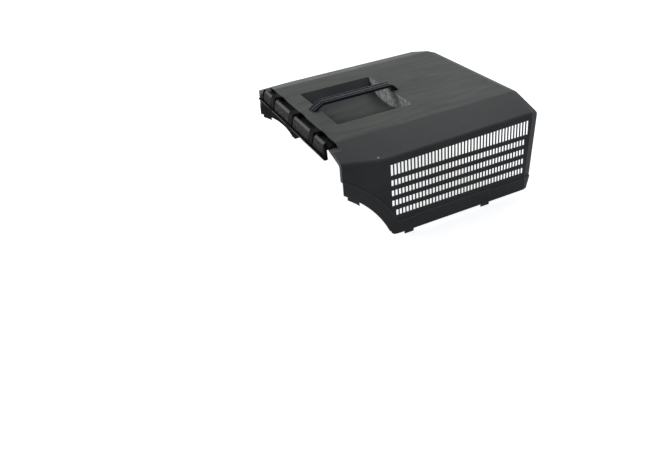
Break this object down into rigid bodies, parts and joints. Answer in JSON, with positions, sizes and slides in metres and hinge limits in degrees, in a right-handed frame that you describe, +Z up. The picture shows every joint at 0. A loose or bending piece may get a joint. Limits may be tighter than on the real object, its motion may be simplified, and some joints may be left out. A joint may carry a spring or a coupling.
{
  "type": "upper shell of a plastic mower grass box",
  "caption": "Upper shell of a mower grass box with slotted sides, wheel arches, a carry grip over a scooped recess and a hanging rail along the mouth.",
  "frame": {"origin": "under the middle of the shell, on the level that the tips of the clip tongues stand on", "axes": "+X to the rear end, -X to the open mouth, +Z up, Y across from side panel to side panel"},
  "size_m": [0.4909, 0.511, 0.2167],
  "materials": {
    "shell_plastic": "fine moulded grain, satin",
    "grip_plastic": "smooth moulded, satin",
    "rail_plastic": "moulded with fine ribs, satin"
  },
  "bodies": {
    "root": {"upper_shell": "shell_plastic", "grip": "grip_plastic", "hanging_rail": "rail_plastic"}
  },
  "joints": []
}
